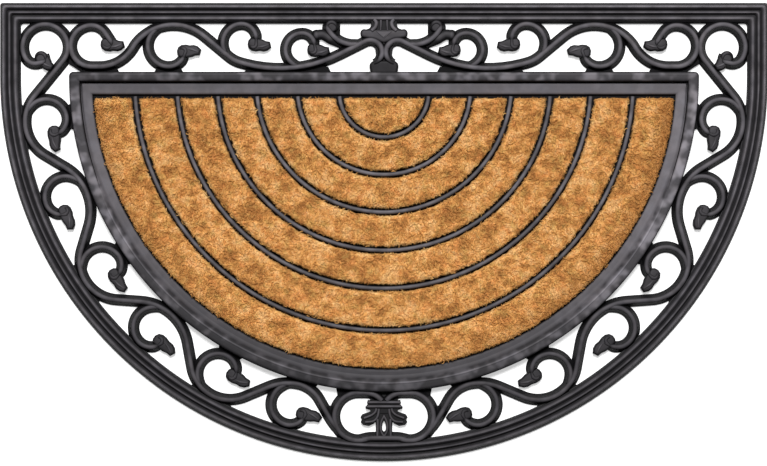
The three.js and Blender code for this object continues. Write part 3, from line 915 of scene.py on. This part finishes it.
class DOORMAT_OT_scrolls(bpy.types.Operator):
    """Builds the vines, their branches and the flat webs of the open border."""

    bl_idname = "doormat.scrolls"
    bl_label = "Scrollwork"

    def execute(self, context):
        sizes = context.scene.doormat_rubber
        pegs = [*CORNER]
        for k in range(WAVE_BENDS):
            bend = OUTWARD if k % 2 == 0 else INWARD
            pegs.append(Peg(*on_arc(FIRST_BEND + k * WAVE_PITCH, bend.reach), bend.radius, bend.turn))
        pegs += LAST_BEND
        scrolls([route(pegs, end=ARC_VINE_END)[::-1]], sizes, "arc_vine", ARC_VINE_SINK)
        vine = route(STRAIGHT_VINE, end=STRAIGHT_VINE_END)[::-1]
        strand = route(RING_STRAND, end=RING_STRAND_END)[::-1]
        scrolls([vine, strand], sizes, "straight_vine", start=STRAIGHT_VINE_START)
        scrolls([branch_route(unit) for unit in arc_units()], sizes, "arc_branches", BRANCH_SINK)
        branches = [branch_route(unit) for unit in STRAIGHT_UNITS if unit.radius]
        scrolls(branches, sizes, "straight_branches", BRANCH_SINK)
        self.centre_strand(sizes)
        self.webs()
        return {"FINISHED"}

    def centre_strand(self, sizes):
        """The strand from the collar round the last scroll to the middle of the frame."""
        run = route(CENTRE_STRAND, *CENTRE_STRAND_ENDS)
        strand = sweep([[*run, (0, run[-1][1])]], scroll_section(sizes))
        finished([mirrored(strand)], "centre_strand", "rubber_scroll")

    def webs(self):
        """The webs along the straight side, at single places, and along the arc side."""
        edge = ARC_Y + TRAY.rise
        hole = ARC_Y + STRAIGHT - FRAME_WIDTH
        spans = [(*web, edge - WEB_TUCK, edge + WEB_REACH, 0, WEB_SLANT) for web in STRAIGHT_WEBS]
        spans += [(*web, hole - WEB_REACH, hole + WEB_TUCK, WEB_SLANT, 0) for web in TOP_WEBS]
        spans.append((*RING_WEB, hole - RING_WEB_REACH, hole + WEB_TUCK, 0, 0))
        outlines = [
            [(x + under, low), (x2 - under, low), (x2 - over, high), (x + over, high)]
            for x, x2, low, high, under, over in spans
        ]
        outlines += [FORK_WEB, SCROLL_WEB, LAST_WEB]
        inner = (TRAY.radius - WEB_TUCK, TRAY.radius + WEB_REACH, 0, WEB_SLANT)
        outer = (RADIUS - FRAME_WIDTH - WEB_REACH, RADIUS - FRAME_WIDTH + WEB_TUCK, WEB_SLANT, 0)
        for k in range(WAVE_BENDS):
            at_bend = FIRST_BEND + k * WAVE_PITCH
            at_eye = FIRST_EYE + k * WAVE_PITCH
            if k % 2 == 0:
                webs = ((at_eye, INNER_WEB_EYE, inner), (at_bend, OUTER_WEB_BEND, outer))
            else:
                webs = ((at_bend, INNER_WEB_BEND, inner), (at_eye, OUTER_WEB_EYE, outer))
            for angle, half, (low, high, under, over) in webs:
                near, far = (half - under) / low, (half - over) / high
                inner_side = arc(0, ARC_Y, low, -angle - near, -angle + near, 12)
                outer_side = arc(0, ARC_Y, high, -angle - far, -angle + far, 12)
                outlines.append([*outer_side, *reversed(inner_side)])
        webs = [mirrored(plate(outline, WEB_HEIGHT, WEB_EDGE)) for outline in outlines]
        finished(webs, "webs", "rubber_low", flat=True)


class DOORMAT_OT_buds(bpy.types.Operator):
    """Builds the curled buds and their blunt leaves."""

    bl_idname = "doormat.buds"
    bl_label = "Buds and leaves"

    def execute(self, context):
        buds = []
        ribs = []
        for unit in [CORNER_UNIT, *STRAIGHT_UNITS, *arc_units()]:
            buds.append(plate(self.on_bud(unit, BUD), BUD_HEIGHT, BUD_EDGE))
            ribs.append(self.on_bud(unit, BUD_RIB))
        ring = RING_STRAND[0]
        bulb = arc(ring.x, ring.y, RING_BULB, 0, 2 * math.pi * 23 / 24, 23)
        buds.append(plate(bulb, BUD_HEIGHT, RING_BULB_EDGE))
        buds.append(sweep(ribs, bead_section(*BUD_RIB_BEAD), widths=[BUD_RIB_WIDTHS] * len(ribs)))
        finished([mirrored(piece) for piece in buds], "buds", "rubber_buds")
        run, rounding = thumb(curved(RING_LEAF), RING_LEAF_TIP)
        widths = [a * b for a, b in zip(rounding, drawn_in(run, RING_LEAF_START))]
        leaf = sweep([run], bead_section(*RING_LEAF_BEAD), widths=[widths])
        finished([mirrored(leaf)], "ring_leaves", "rubber_buds")
        return {"FINISHED"}

    def on_bud(self, unit, points):
        """A bud's points as places on the mat."""
        (u, v), (tip_u, tip_v) = unit.bulb, unit.leaf
        length = math.dist(unit.bulb, unit.leaf)
        cos, sin = (tip_u - u) / length, (tip_v - v) / length
        spots = []
        for a, b in points:
            along = a * (length / BUD_LENGTH)
            spots.append(on_unit(unit, u + along * cos - b * sin, v + along * sin + b * cos))
        return spots


class DOORMAT_OT_ornaments(bpy.types.Operator):
    """Builds the ornaments in the middle of the straight side and of the arc side."""

    bl_idname = "doormat.ornaments"
    bl_label = "Middle ornaments"

    def execute(self, context):
        top = [self.flat_part(part) for part in TOP_PARTS]
        for flute, bead in ((OUTER_FLUTE, OUTER_FLUTE_BEAD), (INNER_FLUTE, INNER_FLUTE_BEAD)):
            top.append(mirrored(sweep([curved(flute)], bead_section(*bead))))
        finished(top, "top_ornament", "rubber_buds", flat=True)
        bars = [[(-half, y), (half, y)] for half, y in COLLAR_BEADS]
        fronds = [curved(run) for run in (UPPER_FROND, LOWER_FROND, SIDE_STEM)]
        bottom = [
            *(self.flat_part(part) for part in BOTTOM_PARTS),
            self.flat_part(STEM_PART, [both_halves(OVAL_HOLE)]),
            mirrored(plate(LOBE, LOBE_HEIGHT, LOBE_EDGE)),
            sweep(bars, bead_section(*COLLAR_BEAD)),
            sweep([both_halves(OVAL_RIM)], bead_section(*OVAL_BEAD), closed=True),
            mirrored(sweep(fronds, bead_section(*FROND_BEAD))),
        ]
        finished(bottom, "bottom_ornament", "rubber_buds", flat=True)
        return {"FINISHED"}

    def flat_part(self, part, holes=()):
        """One plate of an ornament, with both halves of its outline."""
        return plate(both_halves(part.half, part.smooth), part.height, part.edge, holes)


class DOORMAT_OT_coir(bpy.types.Operator):
    """Builds the seven coir pads and their pile."""

    bl_idname = "doormat.coir"
    bl_label = "Coir pads"

    def execute(self, context):
        settings = context.scene.doormat_coir
        heart = coir("coir_heart", settings, False)
        finish = coir("coir_pile", settings, True)
        tree = fibre_tree(settings)
        for k, node in enumerate(COIR_NODES):
            pad = self.pad(k, settings)
            pad.name = f"coir_pad_{k + 1}"
            pad.data.materials.append(heart)
            bpy.ops.object.shade_smooth()
            bpy.ops.object.duplicate()
            pile = bpy.context.object
            pile.name = f"coir_pile_{k + 1}"
            modify(pile, "NODES", node_group=tree)
            pile.data.materials.clear()
            pile.data.materials.append(finish)
            for piece in (pad, pile):
                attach(piece, "root")
                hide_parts(node)
            size = self.flat_size(k)
        return {"FINISHED"}

    def outline(self, k):
        """The band between two ribs, cut off by the field's straight edge."""
        top = ARC_Y - PAD_DROP

        def half_ring(radius, centre):
            cut = math.asin((centre - top) / radius)
            steps = max(16, round(math.pi * radius / FACET))
            return arc(0, centre, radius, math.pi + cut, 2 * math.pi - cut, steps)

        margin = RIB_WIDTH / 2 + RIB_GAP
        if k < len(RIBS):
            outer = half_ring(RIBS[k].radius - margin, ARC_Y - RIBS[k].drop)
        else:
            outer = half_ring(PAD_RADIUS, ARC_Y)
        if k == 0:
            return outer
        inner = half_ring(RIBS[k - 1].radius + margin, ARC_Y - RIBS[k - 1].drop)
        return [*outer, *reversed(inner)]

    def flat_size(self, k):
        """A band's mean width and its length along its own curve, in metres."""
        points = self.outline(k)
        sides = list(zip(points, points[1:] + points[:1]))
        area = abs(sum(a[0] * b[1] - b[0] * a[1] for a, b in sides)) / 2
        length = sum(math.dist(a, b) for a, b in sides) / 2
        if k == 0:
            length = 2 * RIBS[0].radius
        return area / length * MM, length * MM

    def pad(self, k, settings):
        """The solid heart of the pile, with an uneven top and edge."""
        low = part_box(COIR_NODES[k])[0].z / MM
        high = settings.pile_height / MM - HEART_DROP
        piece = plate(self.outline(k), high - low, PAD_EDGE)
        piece.location.z = low * MM
        bpy.ops.object.transform_apply(location=True, rotation=False, scale=False)
        modify(piece, "REMESH", mode="VOXEL", voxel_size=PAD_FACE * MM)
        clouds = bpy.data.textures.new("Pile clumps", "CLOUDS")
        clouds.noise_scale = CLUMP_SIZE * MM
        modify(piece, "DISPLACE", texture=clouds, texture_coords="LOCAL", strength=CLUMP_HEIGHT * MM)
        for vertex in piece.data.vertices:
            vertex.co.z = max(vertex.co.z, low * MM)
        return piece


def fibre_tree(settings):
    """Geometry nodes that set short fibres on a pad, and curled ones that lie on top."""
    deselect()
    length, radius = settings.fibre_length, settings.fibre_width / 2
    bpy.ops.mesh.primitive_cone_add(
        vertices=3, radius1=radius, radius2=0, depth=length, location=(0, 0, length / 2.6))
    fibre = bpy.context.object
    fibre.name = "fibre_pattern"
    bpy.ops.object.transform_apply(location=True)
    bpy.ops.object.shade_smooth()
    curl = sweep([arc(0, -LOOSE_RADIUS, LOOSE_RADIUS, *LOOSE_BEND, 5)], LOOSE_SECTION)
    curl.name = "curl_pattern"
    bpy.ops.object.shade_smooth()
    tree = bpy.data.node_groups.new("Fibres", "GeometryNodeTree")
    for direction in ("INPUT", "OUTPUT"):
        tree.interface.new_socket("Geometry", in_out=direction, socket_type="NodeSocketGeometry")
    nodes = Nodes(tree)
    pad = nodes.add("NodeGroupInput")
    joined = nodes.make("GeometryNodeJoinGeometry")
    for kind in (
        (fibre, settings.fibre_spacing, PILE_DENSITY, settings.lean, PILE_SIZES, 4),
        (curl, settings.curl_spacing, LOOSE_DENSITY, LOOSE_TILT, LOOSE_SIZES, 14),
    ):
        nodes.fill(joined, {0: spread(nodes, pad, *kind)})
    nodes.make("NodeGroupOutput", None, {0: Link(nodes, joined.outputs[0])})
    return tree


def spread(nodes, pad, pattern, spacing, density, tilt, sizes, seed):
    """Nodes that set copies of a pattern on a pad's top, each with a tone of its own from 0 to 1.

    Copies are tilted by up to an angle, and turned any way."""
    normal = nodes.add("GeometryNodeInputNormal")
    upward = nodes.parts(normal)[2]
    on_top = nodes.add("FunctionNodeCompare", {"operation": "GREATER_THAN"}, {0: upward, 1: 0.6})
    spots = nodes.make("GeometryNodeDistributePointsOnFaces", {"distribute_method": "POISSON"}, {
        "Mesh": pad,
        "Selection": on_top,
        "Distance Min": spacing,
        "Density Max": density,
        "Seed": seed,
    })
    tone = nodes.add("FunctionNodeRandomValue", {"data_type": "FLOAT"}, {"Seed": seed + 1}, output=1)
    toned = nodes.add("GeometryNodeStoreNamedAttribute", {"data_type": "FLOAT"}, {
        "Geometry": Link(nodes, spots.outputs["Points"]),
        "Name": "tone",
        "Value": tone,
    })
    turn = nodes.add("FunctionNodeRandomValue", {"data_type": "FLOAT_VECTOR"}, {
        0: (-tilt, -tilt, -math.pi),
        1: (tilt, tilt, math.pi),
        "Seed": seed + 2,
    })
    turned = nodes.add("FunctionNodeEulerToRotation", None, {0: turn})
    stance = nodes.add("FunctionNodeRotateRotation", {"rotation_space": "LOCAL"}, {
        0: Link(nodes, spots.outputs["Rotation"]),
        1: turned,
    })
    span = {2: sizes[0], 3: sizes[1], "Seed": seed + 3}
    size = nodes.add("FunctionNodeRandomValue", {"data_type": "FLOAT"}, span, output=1)
    shape = nodes.add("GeometryNodeObjectInfo", None, {"Object": pattern}, output="Geometry")
    stood = nodes.add("GeometryNodeInstanceOnPoints", None, {
        "Points": toned,
        "Instance": shape,
        "Rotation": stance,
        "Scale": size,
    })
    return nodes.add("GeometryNodeRealizeInstances", None, {0: stood})


class DOORMAT_OT_stage(bpy.types.Operator):
    """Sets the floor, the light and the camera, which looks straight down."""

    bl_idname = "doormat.stage"
    bl_label = "Studio"

    def execute(self, context):
        settings = context.scene.doormat_stage
        deselect()
        bpy.ops.mesh.primitive_plane_add(size=40)
        floor = bpy.context.object
        floor.name = "floor"
        made, nodes, shader, _ = material("floor_paper", 0.9)
        nodes.fill(shader, {
            "Base Color": (*settings.floor, 1),
            "Specular IOR Level": 0.2,
            "Emission Color": (1, 1, 1, 1),
            "Emission Strength": settings.floor_glow,
        })
        floor.data.materials.append(made)
        deselect()
        bpy.ops.object.light_add(type="SUN")
        lamp = bpy.context.object
        lamp.name = "key_light"
        lamp.data.energy = settings.key
        lamp.data.angle = settings.key_softness
        lamp.rotation_euler = (settings.key_height - math.pi / 2, 0, 0)
        world = bpy.data.worlds.new("surround")
        world.use_nodes = True
        context.scene.world = world
        nodes = Nodes(world.node_tree)
        seen = nodes.add("ShaderNodeLightPath", output="Is Camera Ray")
        strength = seen * (1 - settings.surround) + settings.surround
        nodes.fill(world.node_tree.nodes["Background"], {"Color": (1, 1, 1, 1), "Strength": strength})
        deselect()
        x, y = CAMERA_AT
        bpy.ops.object.camera_add(location=(x * MM, y * MM, settings.camera_height))
        camera = bpy.context.object
        camera.data.sensor_width = 36
        camera.data.lens = camera.data.sensor_width * settings.camera_height / settings.view_width
        context.scene.camera = camera
        context.scene.view_settings.view_transform = "Standard"
        return {"FINISHED"}


class DOORMAT_PT_panel(bpy.types.Panel):
    """Lists the doormat's pieces and settings."""

    bl_idname = "DOORMAT_PT_panel"
    bl_label = "Doormat"
    bl_space_type = "VIEW_3D"
    bl_region_type = "UI"
    bl_category = "Doormat"

    def draw(self, context):
        for operator in OPERATORS:
            self.layout.operator(operator.bl_idname)
        for name in GROUPS:
            group = getattr(context.scene, name)
            box = self.layout.box()
            for setting in group.__annotations__:
                box.prop(group, setting)


GROUPS = {"doormat_rubber": DoormatRubber, "doormat_coir": DoormatCoir, "doormat_stage": DoormatStage}
OPERATORS = (
    DOORMAT_OT_outer_frame,
    DOORMAT_OT_inner_frame,
    DOORMAT_OT_scrolls,
    DOORMAT_OT_buds,
    DOORMAT_OT_ornaments,
    DOORMAT_OT_coir,
    DOORMAT_OT_stage,
)
CLASSES = (*GROUPS.values(), *OPERATORS, DOORMAT_PT_panel)


def register():
    for kind in CLASSES:
        bpy.utils.register_class(kind)
    for name, group in GROUPS.items():
        setattr(bpy.types.Scene, name, bpy.props.PointerProperty(type=group))


def unregister():
    for name in GROUPS:
        delattr(bpy.types.Scene, name)
    for kind in reversed(CLASSES):
        bpy.utils.unregister_class(kind)


def main():
    register()
    sizes = bpy.context.scene.doormat_rubber
    rubber("rubber_ridges", sizes, bloom_and_sheen=0.12, crest=0.38, low=4.8, high=8.2)
    rubber("rubber_bands", sizes, bloom_and_sheen=0.9, crest=0.3, low=11.0, high=11.5)
    rubber("rubber_scroll", sizes, bloom_and_sheen=0.06, crest=0.37, low=6.3, high=8.3, shine=0.6)
    rubber("rubber_buds", sizes, bloom_and_sheen=0.08, crest=0.4, low=5.5, high=8.0, shine=0.8)
    rubber("rubber_ribs", sizes, bloom_and_sheen=0.1, crest=0.4, low=8.0, high=9.6)
    rubber("rubber_low", sizes, shine=0.4)
    bpy.ops.doormat.outer_frame()
    bpy.ops.doormat.inner_frame()
    bpy.ops.doormat.scrolls()
    bpy.ops.doormat.buds()
    bpy.ops.doormat.ornaments()
    bpy.ops.doormat.coir()
    bpy.ops.doormat.stage()
    for name in ("fibre_pattern", "curl_pattern"):
        bpy.data.objects.remove(bpy.data.objects[name])


if __name__ == "__main__":
    main()
